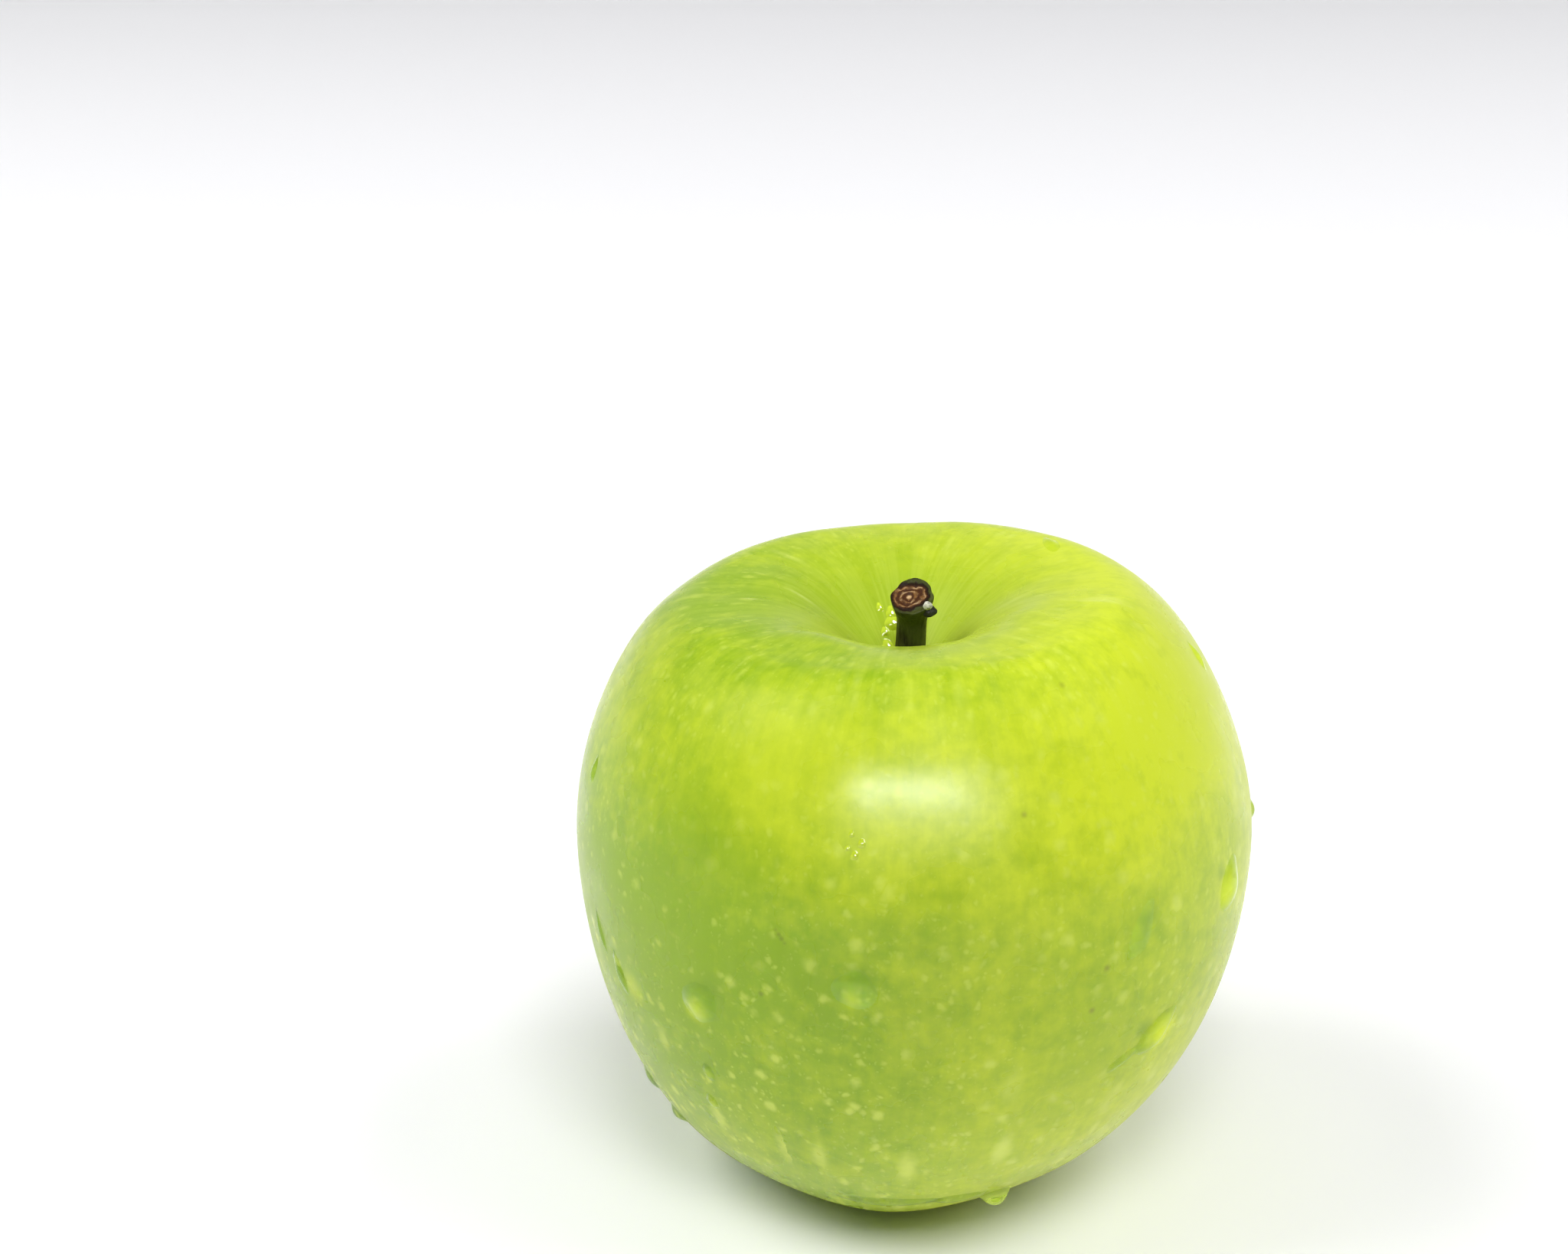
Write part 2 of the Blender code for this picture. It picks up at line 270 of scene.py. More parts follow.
# Fibres: long streaks that run along the vector's third axis. Stretch under 1 draws them out.
fibres, fibre_in, fibre_out = new_effect("fibres", ("Scale", "Stretch", "Contrast"), "Mask")
drawn_out = put(fibres, "CombineXYZ", {0: 1, 1: 1, 2: fibre_in["Stretch"]})
fibre_way = vector_maths(fibres, "MULTIPLY", fibre_in["Vector"], drawn_out.outputs[0])
fibre_feeds = {"Vector": fibre_way, "Scale": fibre_in["Scale"], "Detail": 4}
fibre_noise = put(fibres, "TexNoise", fibre_feeds).outputs[0]
fibres.links.new(sharpen(fibres, fibre_noise, fibre_in["Contrast"]), fibre_out)

# Mottle: soft uneven patches of one size.
mottle, mottle_in, mottle_out = new_effect("mottle", ("Scale", "Contrast"), "Mask")
mottle_feeds = {"Vector": mottle_in["Vector"], "Scale": mottle_in["Scale"], "Detail": 3}
mottle_noise = put(mottle, "TexNoise", mottle_feeds).outputs[0]
mottle.links.new(sharpen(mottle, mottle_noise, mottle_in["Contrast"]), mottle_out)


def new_finish(name):
    finish = bpy.data.materials.new(name)
    finish.use_nodes = True
    return finish, finish.node_tree, finish.node_tree.nodes["Principled BSDF"]


def fruit_ways(tree):
    """The place, a way that runs round the fruit and up it, and the climb from the cheek up."""
    place = put(tree, "TexCoord").outputs["Object"]
    centred = vector_maths(tree, "SUBTRACT", place, (CROWN_CENTRE.x, CROWN_CENTRE.y, CHEEK_HEIGHT))
    flat = vector_maths(tree, "MULTIPLY", centred, (1, 1, 0))
    reach = maths(tree, "MAXIMUM", vector_maths(tree, "LENGTH", flat, out="Value"), 0.0001)
    climb = maths(tree, "ARCTAN2", put(tree, "SeparateXYZ", {0: centred}).outputs[2], reach)
    around = put(tree, "SeparateXYZ", {0: vector_maths(tree, "NORMALIZE", flat)})
    way = put(tree, "CombineXYZ", {0: around.outputs[0], 1: around.outputs[1], 2: climb})
    return place, way.outputs[0], climb


LEAF_GREEN = (0.235, 0.385, 0.004)
RIPE_YELLOW = (0.55, 0.655, 0.020)
# The cavity's green is darker than the skin round it: partly its own tone, partly painted shade in the
# hollow.
CAVITY_GREEN_AND_SHADE = (0.305, 0.425, 0.014)
PALE_FLECK = (0.63, 0.73, 0.11)
PALE_SCUFF = (0.64, 0.72, 0.20)
BROWN_SPECK = (0.10, 0.085, 0.015)
# Painted shade and painted glow for the skin under the drops.
PAINTED_DROP_SHADE = (0.20, 0.34, 0.006)
PAINTED_DROP_GLOW = (0.80, 0.88, 0.010)
# Ripeness by climb: its share, and the climb in radians where it starts and where it is full.
# The cheek lies at climb 0, the foot ring at -1.3, the crown ring at 0.9.
RIPE_BANDS = (
    (0.54, 0.02, 0.53),
    (-0.34, 0.58, 0.88),
    (0.16, -0.05, -0.7),
)
RIPE_START = -0.45
RIPE_TO_RIGHT = 0.42
RIPE_TO_BACK = 0.22
RIPE_FIBRES = 0.12
# Patches in the ripeness: share, scale and contrast.
RIPE_PATCHES = (
    (0.18, 24, 1.0),
    (0.26, 38, 0.9),
    (0.20, 130, 0.9),
    (0.32, 330, 0.9),
    (0.28, 800, 0.9),
)
# Deeper in the cavity the skin turns to that darker green: partly its own tone, partly painted shade.
CAVITY_BAND = (0.88, 1.28)
CAVITY_SHARE = 0.85
# Pale streaks on the shoulder, in the cavity and at the foot: climbs, then shares there.
STREAK_BANDS = (
    (0.35, 0.9, 0.03, 0.10),
    (0.95, 1.2, 0, 0.05),
    (-0.5, -1.1, 0, 0.14),
)
# Pale dots of five sizes: drawing out, look, and the climbs and shares that they run between.
DOT_LAYERS = (
    (1.0, {"Scale": 14, "Size": 0.46, "Softness": 0.80, "Share": 0.60}, (-1.2, 0.7, 0.90, 0.30)),
    (1.0, {"Scale": 28, "Size": 0.46, "Softness": 0.80, "Share": 0.55}, (-0.9, 0.6, 0.60, 0.25)),
    (1.0, {"Scale": 60, "Size": 0.46, "Softness": 0.80, "Share": 0.50}, (-0.9, 0.6, 0.35, 0.15)),
    (0.45, {"Scale": 10, "Size": 0.50, "Softness": 0.85, "Share": 0.75}, (-0.15, -0.60, 0, 0.85)),
    (0.45, {"Scale": 11, "Size": 0.42, "Softness": 0.95, "Share": 0.50}, (0.5, 0.8, 0, 0.35)),
)
DOT_RAGGEDNESS = 0.035
SCUFFS = {"Scale": 7, "Size": 0.42, "Softness": 0.95, "Share": 0.38}
SCUFF_STRETCH = 0.55
SCUFF_RISE = (0.74, 0.92)
SCUFF_FADE = (1.24, 1.10)
SCUFF_SHARE = 0.42
# Yellower and greener zones of the front: middle, reach, share and colour.
ZONES = (
    ((-0.0150, -0.0275, 0.0625), 0.0120, 0.42, RIPE_YELLOW),
    ((-0.0240, -0.0275, 0.0510), 0.0130, 0.60, LEAF_GREEN),
    ((0.0160, -0.0330, 0.0285), 0.0120, 0.35, LEAF_GREEN),
)
# Under a drop the skin has painted shade at the upper side and a painted glow of focused light at the
# lower side.
PAINTED_DROP_LIGHT = (
    ((-0.0070, -0.0373, 0.0420), 0.0022, 0.75, PAINTED_DROP_SHADE),
    ((-0.0079, -0.0370, 0.0391), 0.0016, 0.40, PAINTED_DROP_GLOW),
    ((-0.0224, -0.0303, 0.0368), 0.0028, 0.75, PAINTED_DROP_SHADE),
    ((-0.0240, -0.0286, 0.0330), 0.0024, 0.55, PAINTED_DROP_GLOW),
    ((0.0317, -0.0204, 0.0450), 0.0016, 0.60, PAINTED_DROP_SHADE),
    ((0.0326, -0.0192, 0.0420), 0.0030, 0.60, PAINTED_DROP_GLOW),
    ((0.0231, -0.0291, 0.0311), 0.0017, 0.80, PAINTED_DROP_SHADE),
    ((0.0252, -0.0264, 0.0293), 0.0032, 0.90, PAINTED_DROP_GLOW),
    ((0.0226, -0.0304, 0.0450), 0.0014, 0.50, PAINTED_DROP_SHADE),
    ((-0.0310, -0.0203, 0.0309), 0.0028, 0.35, PAINTED_DROP_GLOW),
    ((0.0157, 0.0129, 0.0695), 0.0022, 0.12, PAINTED_DROP_GLOW),
    ((-0.0229, -0.0271, 0.0242), 0.0011, 0.30, PAINTED_DROP_GLOW),
    ((-0.0226, -0.0252, 0.0194), 0.0011, 0.30, PAINTED_DROP_GLOW),
    ((0.0303, -0.0037, 0.0625), 0.0013, 0.30, PAINTED_DROP_GLOW),
)
# Five single brown specks, and a short row of four that makes one scratch.
SPECKS = (
    ((0.0183, -0.0335, 0.0409), 0.00062, 0.50, BROWN_SPECK),
    ((0.0169, -0.0340, 0.0362), 0.00062, 0.50, BROWN_SPECK),
    ((0.0093, -0.0326, 0.0580), 0.00055, 0.40, BROWN_SPECK),
    ((0.0136, -0.0228, 0.0678), 0.00060, 0.35, BROWN_SPECK),
    ((-0.0171, -0.0336, 0.0380), 0.00050, 0.45, BROWN_SPECK),
    ((-0.0156, -0.0341, 0.0457), 0.00036, 0.30, BROWN_SPECK),
    ((-0.0153, -0.0343, 0.0453), 0.00044, 0.40, BROWN_SPECK),
    ((-0.0150, -0.0345, 0.0449), 0.00044, 0.45, BROWN_SPECK),
    ((-0.0147, -0.0347, 0.0445), 0.00036, 0.30, BROWN_SPECK),
)
PORE_DEPTH = 0.000014
DOT_RISE = 0.00002
SKIN_ROUGHNESS = (0.24, 0.34)
WAX_AND_FLESH = {
    "IOR": 1.38,
    "Sheen Weight": 0.14,
    "Sheen Roughness": 0.45,
    "Sheen Tint": (1.0, 0.93, 0.30, 1),
    "Subsurface Weight": 0.12,
    "Subsurface Radius": (1.0, 1.0, 0.2),
    "Subsurface Scale": 0.0015,
}


def skin_ripeness(tree, place, way, climb):
    """How far the skin has gone from green to yellow, from under 0 to over 1."""
    to_right, to_back, _ = put(tree, "SeparateXYZ", {0: way}).outputs
    layers = [(share, spread(tree, climb, start, full)) for share, start, full in RIPE_BANDS]
    layers.append((RIPE_TO_RIGHT, to_right))
    layers.append((RIPE_TO_BACK, spread(tree, to_back, 0.1, 0.9)))
    for share, scale, contrast in RIPE_PATCHES:
        layers.append((share, use_effect(tree, mottle, place, Scale=scale, Contrast=contrast)))
    fine_fibres = use_effect(tree, fibres, way, Scale=46, Stretch=0.12, Contrast=0.9)
    layers.append((RIPE_FIBRES, fine_fibres))
    ripeness = RIPE_START
    for share, mask in layers:
        ripeness = maths(tree, "ADD", ripeness, maths(tree, "MULTIPLY", share, mask))
    return spread(tree, ripeness, 0, 1, smooth=False)


def skin_dots(tree, dot_way, climb):
    """The pale dots of all sizes. They thin out in the cavity."""
    dots = 0
    for stretch, look, (start, end, at_start, at_end) in DOT_LAYERS:
        drawn = vector_maths(tree, "MULTIPLY", dot_way, (1, 1, stretch))
        share = spread(tree, climb, start, end, at_start, at_end)
        mask = maths(tree, "MULTIPLY", use_effect(tree, flecks, drawn, **look), share)
        dots = maths(tree, "MAXIMUM", dots, mask)
    return maths(tree, "MULTIPLY", dots, spread(tree, climb, 1.25, 0.95, 0.15, 1))


def skin_scuffs(tree, dot_way, climb, streak):
    """Broad pale scuffs round the rim of the cavity, broken up by the streaks."""
    drawn = vector_maths(tree, "MULTIPLY", dot_way, (1, 1, SCUFF_STRETCH))
    band = maths(tree, "MULTIPLY", spread(tree, climb, *SCUFF_RISE, 0, SCUFF_SHARE),
                 spread(tree, climb, *SCUFF_FADE))
    broken = maths(tree, "MULTIPLY", band, spread(tree, streak, 0, 0.5, 0.5, 1))
    return maths(tree, "MULTIPLY", use_effect(tree, flecks, drawn, **SCUFFS), broken)


def skin_finish():
    finish, tree, shader = new_finish("apple_skin")
    place, way, climb = fruit_ways(tree)
    colour = blend(tree, skin_ripeness(tree, place, way, climb), LEAF_GREEN, RIPE_YELLOW)
    # Darker green deep in the cavity: partly its own tone, partly painted shade.
    colour = blend(tree, spread(tree, climb, *CAVITY_BAND, 0, CAVITY_SHARE), colour, CAVITY_GREEN_AND_SHADE)
    streak = use_effect(tree, fibres, way, Scale=22, Stretch=0.14, Contrast=2.2)
    strength = 0
    for band in STREAK_BANDS:
        strength = maths(tree, "ADD", strength, spread(tree, climb, *band))
    colour = blend(tree, maths(tree, "MULTIPLY", streak, strength), colour, PALE_FLECK)
    ragged = put(tree, "TexNoise", {"Vector": place, "Scale": 700, "Detail": 2}).outputs["Color"]
    shift = vector_maths(tree, "SUBTRACT", ragged, (0.5, 0.5, 0.5))
    shift = put(tree, "VectorMath", {0: shift, "Scale": DOT_RAGGEDNESS}, operation="SCALE").outputs[0]
    dot_way = vector_maths(tree, "ADD", way, shift)
    dots = skin_dots(tree, dot_way, climb)
    colour = blend(tree, dots, colour, PALE_FLECK)
    colour = blend(tree, skin_scuffs(tree, dot_way, climb, streak), colour, PALE_SCUFF)
    # The zones and specks are the skin's own colour; the drop entries are painted shade and painted
    # glow.
    for middle, reach, share, tone_and_painted_light in ZONES + PAINTED_DROP_LIGHT + SPECKS:
        away = vector_maths(tree, "DISTANCE", place, middle, out="Value")
        colour = blend(tree, spread(tree, away, reach, 0, 0, share), colour, tone_and_painted_light)
    tree.links.new(colour, shader.inputs["Base Color"])
    pores = put(tree, "TexNoise", {"Vector": place, "Scale": 900, "Detail": 2}).outputs[0]
    height = maths(tree, "ADD", maths(tree, "MULTIPLY", pores, PORE_DEPTH),
                   maths(tree, "MULTIPLY", dots, DOT_RISE))
    relief = put(tree, "Bump", {"Height": height, "Strength": 0.6, "Distance": 1.0})
    tree.links.new(relief.outputs[0], shader.inputs["Normal"])
    dull_patches = use_effect(tree, mottle, place, Scale=120, Contrast=1.2)
    tree.links.new(spread(tree, dull_patches, 0, 1, *SKIN_ROUGHNESS), shader.inputs["Roughness"])
    for socket, value in WAX_AND_FLESH.items():
        shader.inputs[socket].default_value = value
    return finish


fruit_mesh = grown_sphere(FRUIT_COLUMNS, BASIN_ROWS + SIDE_ROWS + CAVITY_ROWS, ROW_DETAIL, fruit_point)
for vertex in fruit_mesh.verts:
    vertex.co += vertex.normal * skin_relief(vertex.co)
    vertex.co.z = max(0, vertex.co.z)
skin_surface = BVHTree.FromBMesh(fruit_mesh)
fruit_skin = add_piece("fruit_skin", fruit_mesh, skin_finish())
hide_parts("fruit")


# The stem: a short woody stalk that grew out of the bottom of the cavity and was cut square.
# Its bark is ribbed and nearly black below, olive above, and the flared end shows tan rings.
STEM_FOOT = Vector((-0.0014, 0, 0.0542))
STEM_MIDDLE = Vector((-0.0008, 0, 0.0621))
STEM_TIP = Vector((-0.0008, -0.0012, 0.0688))
STEM_FOOT_RADIUS = 0.0016
STEM_NECK_RADIUS = 0.00160
STEM_END_RADIUS = 0.00220
FLARE_SHARE = 0.27
END_TILT = math.radians(31)
END_BEARING = math.radians(-112)
END_DISH = 0.0002
STEM_OVAL = 0.05
KNOB_BEARING = math.radians(-38)
FOOT_ROWS = 3
BARK_ROWS = 16
END_ROWS = 5
STEM_DETAIL = 6
STEM_COLUMNS = 96
BARK_RIB_DEPTH = 0.00009
RIM_DEPTH = 0.00022
RING_DEPTH = 0.00007
RING_COUNT = 3.5
RING_WANDER = 0.12
END_GRAIN = 0.00006


def smooth_step(share):
    share = min(max(share, 0), 1)
    return share * share * (3 - 2 * share)


def stem_axis(share):
    """The stem's middle line, a curve through its foot, middle and tip."""
    bend = 2 * STEM_MIDDLE - (STEM_FOOT + STEM_TIP) / 2
    return (1 - share) ** 2 * STEM_FOOT + 2 * share * (1 - share) * bend + share ** 2 * STEM_TIP


def stem_radius(share):
    taper = STEM_FOOT_RADIUS + (STEM_NECK_RADIUS - STEM_FOOT_RADIUS) * smooth_step(2 * share)
    flare = smooth_step((share - 1 + FLARE_SHARE) / FLARE_SHARE)
    return taper + (STEM_END_RADIUS - STEM_NECK_RADIUS) * flare


def stem_point(bearing, row):
    """The foot's face, then the ribbed bark, then the tilted cut end with its rings."""
    bark_row = row - FOOT_ROWS
    end_share = max(0, (bark_row - BARK_ROWS) / END_ROWS)
    share = min(max(bark_row / BARK_ROWS, 0), 1)
    inward = max(0, 1 - row / FOOT_ROWS, end_share)
    around = Vector((math.cos(bearing), math.sin(bearing), 0))
    flared = smooth_step((share - 1 + FLARE_SHARE) / FLARE_SHARE)
    rib = BARK_RIB_DEPTH * noise.fractal(around * 2.6 + Vector((0, 0, share * 2.2)), 1, 2, 3)
    rim = RIM_DEPTH * flared ** 3 * noise.noise(around * 2.1 + Vector((7, 0, 0)))
    across = around * (stem_radius(share) + rib + rim) * (1 - inward)
    across *= 1 + STEM_OVAL * math.cos(2 * (bearing - KNOB_BEARING))
    toward_end = Vector((math.cos(END_BEARING), math.sin(END_BEARING), 0))
    across.z -= flared * math.tan(END_TILT) * across.dot(toward_end)
    if end_share > 0:
        wander = RING_WANDER * noise.noise(around * 1.5 + Vector((0, 3, 0)))
        ring = math.sin(2 * math.pi * RING_COUNT * (end_share + wander * end_share))
        across.z += RING_DEPTH * ring * min(1, 4 * (1 - end_share))
        across.z -= END_DISH * math.sin(math.pi * end_share / 2)
        across.z += END_GRAIN * noise.noise(across * 2500)
    return stem_axis(share) + across


OLIVE_BARK = (0.050, 0.064, 0.008)
BLACK_BARK = (0.007, 0.0045, 0.0015)
BARK_RIDGE = (0.090, 0.095, 0.022)
RING_TAN = (0.25, 0.12, 0.035)
RING_BROWN = (0.055, 0.018, 0.005)
RIM_BLACK = (0.014, 0.006, 0.002)
HEART_TAN = (0.62, 0.42, 0.22)
SCRATCH_TAN = (0.46, 0.32, 0.17)
# The bark is dead and black below a slanting line at this height.
DEAD_LINE = (0.0622, 0.0640)
DEAD_LINE_SLANT = -0.9
# The bare wood of the cut end lies a little off the middle, inside a black rim of bark.
FACE_SHIFT = Vector((-0.00032, 0.00010, 0.0))
FACE_RADIUS = 0.0019
FACE_DROP = (-0.00048, -0.00030)
HEART_RADIUS = (0.00036, 0.00012)
RING_WOBBLE = 0.0017
FIBRE_DEPTH = 0.00006
GRAIN_DEPTH = 0.00003
END_NORMAL = Vector((math.sin(END_TILT) * math.cos(END_BEARING),
                     math.sin(END_TILT) * math.sin(END_BEARING),
                     math.cos(END_TILT)))


def stem_bark(tree, place, fibre):
    """Fibrous bark, olive above and black where it is dead."""
    aside, _, height = put(tree, "SeparateXYZ", {0: place}).outputs
    dead_line = maths(tree, "SUBTRACT", height, maths(tree, "MULTIPLY", aside, DEAD_LINE_SLANT))
    bark = blend(tree, spread(tree, dead_line, *DEAD_LINE), BLACK_BARK, OLIVE_BARK)
    bark = blend(tree, maths(tree, "MULTIPLY", fibre, 0.45), bark, BARK_RIDGE)
    patch = use_effect(tree, mottle, place, Scale=420, Contrast=1.3)
    return blend(tree, maths(tree, "MULTIPLY", patch, 0.4), bark, BLACK_BARK)


def stem_rings(tree, place, radial, ring_way, grain):
    """The end's wood: brown and tan rings with pale scratches, a pale heart and a black rim."""
    turns = 2 * math.pi * RING_COUNT / STEM_END_RADIUS
    ring = maths(tree, "SINE", maths(tree, "MULTIPLY", ring_way, turns))
    wood = blend(tree, spread(tree, ring, -0.7, 0.95), RING_BROWN, RING_TAN)
    wood = blend(tree, maths(tree, "MULTIPLY", grain, 0.75), wood, RING_BROWN)
    scratch = use_effect(tree, fibres, place, Scale=1300, Stretch=1.0, Contrast=3.0)
    on_ring = maths(tree, "MULTIPLY", scratch, spread(tree, ring, 0.4, 1.0))
    wood = blend(tree, maths(tree, "MULTIPLY", on_ring, 0.7), wood, SCRATCH_TAN)
    wood = blend(tree, spread(tree, radial, *HEART_RADIUS, 0, 0.8), wood, HEART_TAN)
    return blend(tree, spread(tree, ring_way, FACE_RADIUS * 0.80, FACE_RADIUS), wood, RIM_BLACK)


def stem_finish():
    finish, tree, shader = new_finish("stem_wood")
    place = put(tree, "TexCoord").outputs["Object"]
    from_tip = vector_maths(tree, "SUBTRACT", place, STEM_TIP + FACE_SHIFT)
    lift = vector_maths(tree, "DOT_PRODUCT", from_tip, END_NORMAL, out="Value")
    sunk = vector_maths(tree, "PROJECT", from_tip, END_NORMAL)
    radial = vector_maths(tree, "DISTANCE", from_tip, sunk, out="Value")
    wobble_feeds = {"Vector": place, "Scale": 620, "Detail": 4, "Roughness": 0.6}
    wobble = maths(tree, "SUBTRACT", put(tree, "TexNoise", wobble_feeds).outputs[0], 0.5)
    ring_way = maths(tree, "ADD", radial, maths(tree, "MULTIPLY", wobble, RING_WOBBLE))
    fibre = use_effect(tree, fibres, place, Scale=2200, Stretch=0.14, Contrast=1.4)
    grain = use_effect(tree, mottle, place, Scale=1500, Contrast=1.3)
    on_end = maths(tree, "MULTIPLY", spread(tree, lift, *FACE_DROP),
                   spread(tree, ring_way, FACE_RADIUS * 1.16, FACE_RADIUS * 1.04))
    colour = blend(tree, on_end, stem_bark(tree, place, fibre),
                   stem_rings(tree, place, radial, ring_way, grain))
    tree.links.new(colour, shader.inputs["Base Color"])
    shader.inputs["Roughness"].default_value = 0.5
    shader.inputs["Specular IOR Level"].default_value = 0.2
    rough = maths(tree, "ADD", maths(tree, "MULTIPLY", fibre, FIBRE_DEPTH),
                  maths(tree, "MULTIPLY", grain, GRAIN_DEPTH))
    relief = put(tree, "Bump", {"Height": rough, "Strength": 0.9, "Distance": 1.0})
    tree.links.new(relief.outputs[0], shader.inputs["Normal"])
    return finish


stem_mesh = grown_sphere(STEM_COLUMNS, FOOT_ROWS + BARK_ROWS + END_ROWS, STEM_DETAIL, stem_point)
stem_wood = add_piece("stem_wood", stem_mesh, stem_finish())
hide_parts("stem")


# The knob and the pale scar on the stem's side: what is left of a bud that dried and fell.
# Both grew out of the bark just under the cut end.
BUMP_PITS = 0.00008
BUMP_UNEVEN = 0.22
# Name, share of the way up the stem, bearing, way out of the bark, radius, squash and colour.
BUMPS = (
    ("stem_knob", 0.93, -38, 0.0002, 0.00082, 0.75, (0.012, 0.012, 0.004)),
    ("stem_scar", 1.00, -44, 0.0001, 0.00050, 0.88, (0.74, 0.73, 0.60)),
)


def bump_finish(name, colour):
    finish, tree, shader = new_finish(name)
    place = put(tree, "TexCoord").outputs["Object"]
    patch = use_effect(tree, mottle, place, Scale=2200, Contrast=1.4)
    shade = tuple(channel * 0.45 for channel in colour)
    tree.links.new(blend(tree, patch, colour, shade), shader.inputs["Base Color"])
    shader.inputs["Roughness"].default_value = 0.6
    pits = maths(tree, "MULTIPLY", patch, BUMP_PITS)
    relief = put(tree, "Bump", {"Height": pits, "Strength": 1.0, "Distance": 1.0})
    tree.links.new(relief.outputs[0], shader.inputs["Normal"])
    return finish


for bump_name, bump_share, bearing_degrees, bump_out, bump_radius, bump_squash, bump_colour in BUMPS:
    bump_bearing = math.radians(bearing_degrees)
    bump_way = Vector((math.cos(bump_bearing), math.sin(bump_bearing), 0))
    bump_middle = stem_axis(bump_share) + bump_way * (stem_radius(bump_share) + bump_out)
    bump_flare = smooth_step((bump_share - 1 + FLARE_SHARE) / FLARE_SHARE)
    bump_middle.z -= bump_flare * STEM_NECK_RADIUS * END_TILT / 2
    bump_mesh = bmesh.new()
    bmesh.ops.create_icosphere(bump_mesh, subdivisions=4, radius=bump_radius)
    for vertex in bump_mesh.verts:
        uneven = noise.noise(vertex.co * 1600 + Vector((bump_share * 9, 0, 0)))
        vertex.co *= 1 + BUMP_UNEVEN * uneven
        vertex.co.z *= bump_squash
        vertex.co += bump_middle
    add_piece(bump_name, bump_mesh, bump_finish(bump_name, bump_colour))


# The calyx: the dried flower end in the basin, a short tube with five curled sepals.
# It is dead, felted and brittle, and brown stubs of the stamens stand between the sepals.
SEPAL_COUNT = 5
SEPAL_PATH = ((0.0019, 0.0066), (0.0024, 0.0036), (0.0036, 0.0028), (0.0057, 0.0046))
SEPAL_HALF_WIDTH = 0.00125
SEPAL_BASE_SHARE = 0.82
SEPAL_TIP_SHARE = 0.10
SEPAL_CUP = 0.00035
SEPAL_THICKNESS = 0.00045
SEPAL_CELLS = (14, 28)
PLUG_RADIUS = 0.0025
PLUG_TOP = 0.0078
PLUG_BOTTOM = 0.0056
STUB_COUNT = 14
STUB_RADIUS = 0.00017
STUB_LENGTH = 0.0026
STUB_RING = 0.0010
STUB_LEAN = 16
STUB_LEAN_CHANGE = 9
FELT_DEPTH = 0.00012
SEPAL_CRINKLE = 0.00018
DRY_BROWN = (0.085, 0.050, 0.020)
DRY_GREY = (0.26, 0.23, 0.15)


def dry_finish():
    finish, tree, shader = new_finish("calyx_dry")
    place = put(tree, "TexCoord").outputs["Object"]
    felt = use_effect(tree, mottle, place, Scale=1500, Contrast=1.1)
    patch = use_effect(tree, mottle, place, Scale=400, Contrast=1.2)
    colour = blend(tree, patch, DRY_BROWN, DRY_GREY)
    colour = blend(tree, maths(tree, "MULTIPLY", felt, 0.5), colour, DRY_BROWN)
    tree.links.new(colour, shader.inputs["Base Color"])
    shader.inputs["Roughness"].default_value = 0.85
    nap = maths(tree, "MULTIPLY", felt, FELT_DEPTH)
    relief = put(tree, "Bump", {"Height": nap, "Strength": 1.0, "Distance": 1.0})
    tree.links.new(relief.outputs[0], shader.inputs["Normal"])
    return finish


def sepal_point(number, across, along):
    """A point of a sepal that leaves along +X: across runs -1 to 1, along 0 to 1."""
    out = 0
    height = 0
    for step, (path_out, path_height) in enumerate(SEPAL_PATH):
        weight = math.comb(3, step) * along ** step * (1 - along) ** (3 - step)
        out += weight * path_out
        height += weight * path_height
    opening = SEPAL_BASE_SHARE + (1 - SEPAL_BASE_SHARE) * smooth_step(3 * along)
    width = SEPAL_HALF_WIDTH * opening * (1 - (1 - SEPAL_TIP_SHARE) * along ** 1.7)
    crinkle = SEPAL_CRINKLE * along * noise.noise(Vector((2.4 * across, 3 * along, 5 * number)))
    cup = SEPAL_CUP * across ** 2 * (1 - 1.6 * along)
    return Vector((out, across * width, height - cup + crinkle))


def sepal_mesh(number):
    cells_across, cells_along = SEPAL_CELLS
    bm = bmesh.new()
    bmesh.ops.create_grid(bm, x_segments=cells_along, y_segments=cells_across, size=1)
    for vertex in bm.verts:
        vertex.co = sepal_point(number, vertex.co.y, (vertex.co.x + 1) / 2)
    bmesh.ops.solidify(bm, geom=bm.faces[:], thickness=SEPAL_THICKNESS)
    bearing = LOBE_BEARING + 2 * math.pi * number / SEPAL_COUNT + 0.06 * math.sin(2.4 * number)
    middle = Matrix.Translation((BASIN_CENTRE.x, BASIN_CENTRE.y, 0))
    bm.transform(middle @ Matrix.Rotation(bearing, 4, "Z"))
    bmesh.ops.recalc_face_normals(bm, faces=bm.faces)
    return bm


dry = dry_finish()
for sepal_number in range(SEPAL_COUNT):
    sepal = add_piece(f"sepal_{sepal_number + 1}", sepal_mesh(sepal_number), dry)
    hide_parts("calyx")

